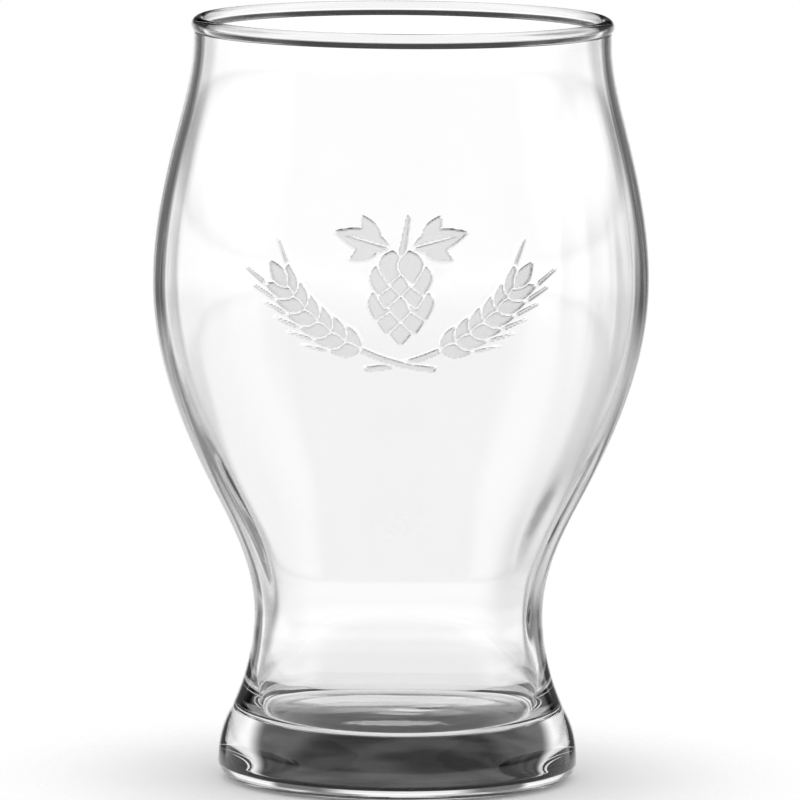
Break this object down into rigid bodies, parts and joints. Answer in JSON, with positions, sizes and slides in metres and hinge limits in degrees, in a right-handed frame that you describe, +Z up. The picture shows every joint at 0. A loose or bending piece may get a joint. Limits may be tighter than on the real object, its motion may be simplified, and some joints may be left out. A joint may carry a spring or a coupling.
{
  "type": "pilsner glass",
  "caption": "Clear pilsner beer glass with a rounded lip, a wide belly set high, a narrow waist and a thick flared foot that is hollowed underneath.",
  "frame": {"origin": "on the axis of the glass, in the plane of the table that it stands on", "axes": "+Z up along the axis of the glass; -Y towards the viewer, +X to the viewer's right"},
  "size_m": [0.0888, 0.0888, 0.137],
  "materials": {
    "clear_glass": "clear, fire-polished soda-lime glass"
  },
  "bodies": {
    "root": {"foot": "clear_glass", "bowl": "clear_glass", "rim_bead": "clear_glass"}
  },
  "joints": []
}
